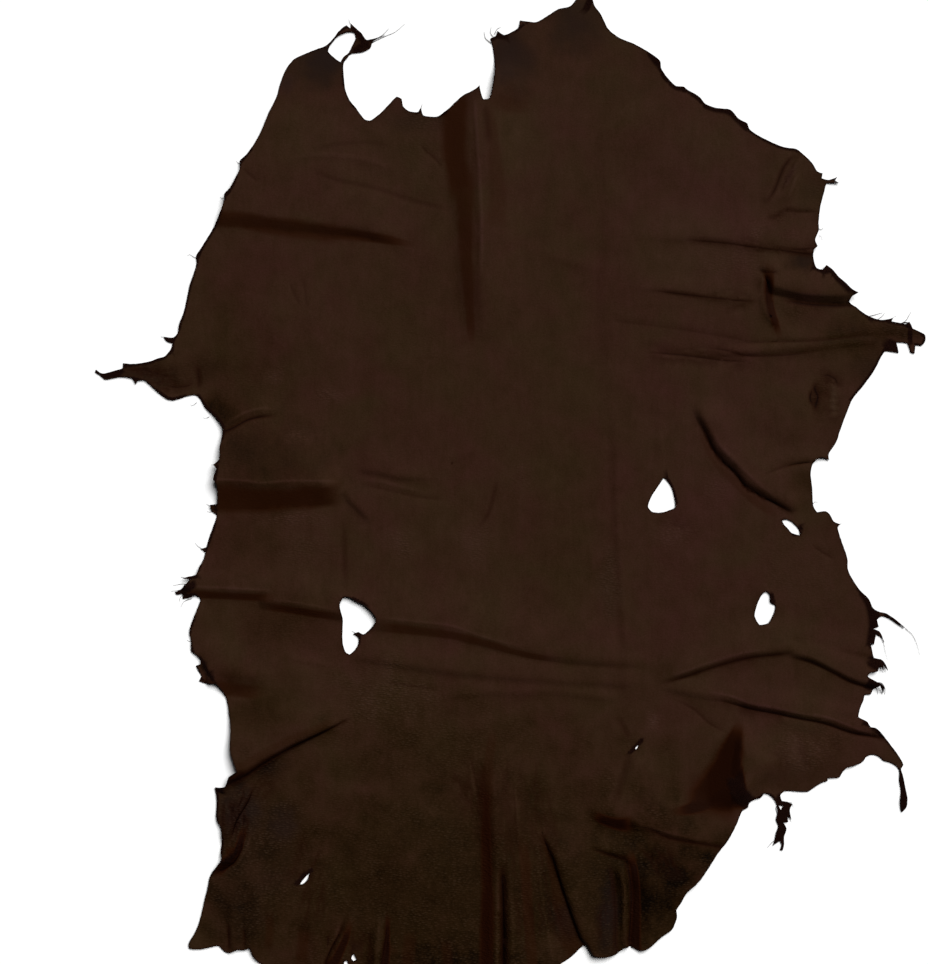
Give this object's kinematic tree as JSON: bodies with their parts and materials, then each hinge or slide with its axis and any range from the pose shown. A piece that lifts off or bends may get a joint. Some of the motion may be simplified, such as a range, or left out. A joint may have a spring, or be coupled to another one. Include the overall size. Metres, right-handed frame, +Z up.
{
  "type": "leather hide",
  "caption": "Whole tanned hide in dark brown leather, lying flat in soft folds, with leg stubs, a slit neck, ragged tatters along its edge and torn holes.",
  "frame": {"origin": "on the underside's flat face, near the middle of the back, on the surface that the hide lies on", "axes": "+Z up out of the surface towards the grain side, +Y along the spine towards the neck, +X towards the hide's own right as seen from above"},
  "size_m": [1.037, 1.245, 0.0166],
  "materials": {
    "leather": "matt to satin, fine pebbled grain"
  },
  "bodies": {
    "root": {"hide": "leather"}
  },
  "joints": []
}
